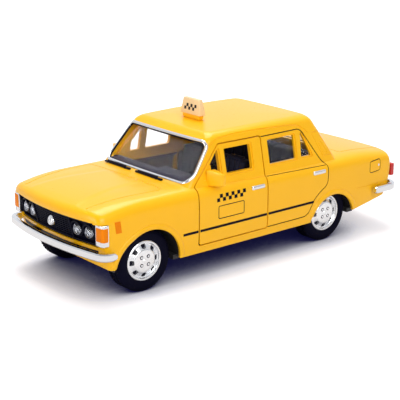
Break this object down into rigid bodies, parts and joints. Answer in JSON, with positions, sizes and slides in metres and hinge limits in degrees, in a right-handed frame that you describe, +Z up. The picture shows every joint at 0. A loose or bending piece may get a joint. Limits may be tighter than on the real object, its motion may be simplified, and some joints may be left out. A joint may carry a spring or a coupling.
{
  "type": "toy taxi",
  "caption": "Small die-cast saloon taxi with opening front doors, rolling wheels on through axles and a geared pull-back spring motor under the rear seat.",
  "frame": {"origin": "middle of the car's outline, on the surface that the tyres stand on", "axes": "+Y towards the tail, +X towards the car's left side, +Z up"},
  "size_m": [0.0458, 0.11, 0.0429],
  "materials": {
    "yellow_paint": "gloss",
    "base_black": "matte",
    "interior_navy": "matte",
    "dash_grey": "matte",
    "clear_pane": "clear",
    "grille_black": "satin",
    "bright_trim": "polished",
    "lamp_glass": "clear",
    "amber_lens": "clear",
    "red_lens": "clear",
    "sign_cream": "satin",
    "wheel_silver": "satin",
    "tyre_rubber": "matte",
    "pin_steel": "bright",
    "gear_nylon": "natural"
  },
  "bodies": {
    "body": {"body_shell": "yellow_paint", "base_plate": "base_black", "interior_tub": "interior_navy", "dashboard": "dash_grey", "steering_wheel": "base_black", "glazing": "clear_pane", "grille": "grille_black", "grille_badge": "bright_trim", "headlamps": "lamp_glass", "corner_lamps": "bright_trim", "indicator_lenses": "amber_lens", "front_bumper": "bright_trim", "rear_bumper": "bright_trim", "tail_lamps": "red_lens", "roof_sign": "sign_cream", "roof_sign_base": "yellow_paint", "wipers": "grille_black", "hinge_pins": "pin_steel", "base_screws": "pin_steel", "motor_case": "base_black", "motor_cover": "base_black", "motor_pins": "pin_steel"},
    "left_door": {"left_door": "yellow_paint", "left_door_hinge": "pin_steel", "left_mirror": "yellow_paint"},
    "right_door": {"right_door": "yellow_paint", "right_door_hinge": "pin_steel", "right_mirror": "yellow_paint"},
    "front_wheels": {"front_axle": "pin_steel", "front_left_rim": "wheel_silver", "front_right_rim": "wheel_silver", "front_left_tyre": "tyre_rubber", "front_right_tyre": "tyre_rubber"},
    "rear_wheels": {"rear_axle": "pin_steel", "rear_left_rim": "wheel_silver", "rear_right_rim": "wheel_silver", "rear_left_tyre": "tyre_rubber", "rear_right_tyre": "tyre_rubber", "axle_gear": "gear_nylon"},
    "idler": {"idler_gear": "gear_nylon"},
    "spring_drum": {"spring_drum": "gear_nylon", "mainspring": "pin_steel"}
  },
  "joints": [
    {"name": "left_door_hinge", "type": "hinge", "parent": "body", "child": "left_door", "pos_m": [0.0184, -0.024, 0.015], "axis": [0, 0, -1], "range_deg": [0, 65]},
    {"name": "right_door_hinge", "type": "hinge", "parent": "body", "child": "right_door", "pos_m": [-0.0184, -0.024, 0.015], "axis": [0, 0, 1], "range_deg": [0, 65]},
    {"name": "front_axle_spin", "type": "hinge", "parent": "body", "child": "front_wheels", "pos_m": [0, -0.0375, 0.00825], "axis": [1, 0, 0], "continuous": true},
    {"name": "rear_axle_spin", "type": "hinge", "parent": "body", "child": "rear_wheels", "pos_m": [0, 0.0267, 0.00825], "axis": [1, 0, 0], "continuous": true},
    {"name": "idler_spin", "type": "hinge", "parent": "body", "child": "idler", "pos_m": [0, 0.02241, 0.01185], "axis": [1, 0, 0], "continuous": true},
    {"name": "drum_spin", "type": "hinge", "parent": "body", "child": "spring_drum", "pos_m": [0, 0.01402, 0.01156], "axis": [1, 0, 0], "continuous": true}
  ],
  "couplings": [
    {"joint": "idler_spin", "follows": "rear_axle_spin", "ratio": -0.55556},
    {"joint": "drum_spin", "follows": "rear_axle_spin", "ratio": 0.41667}
  ]
}
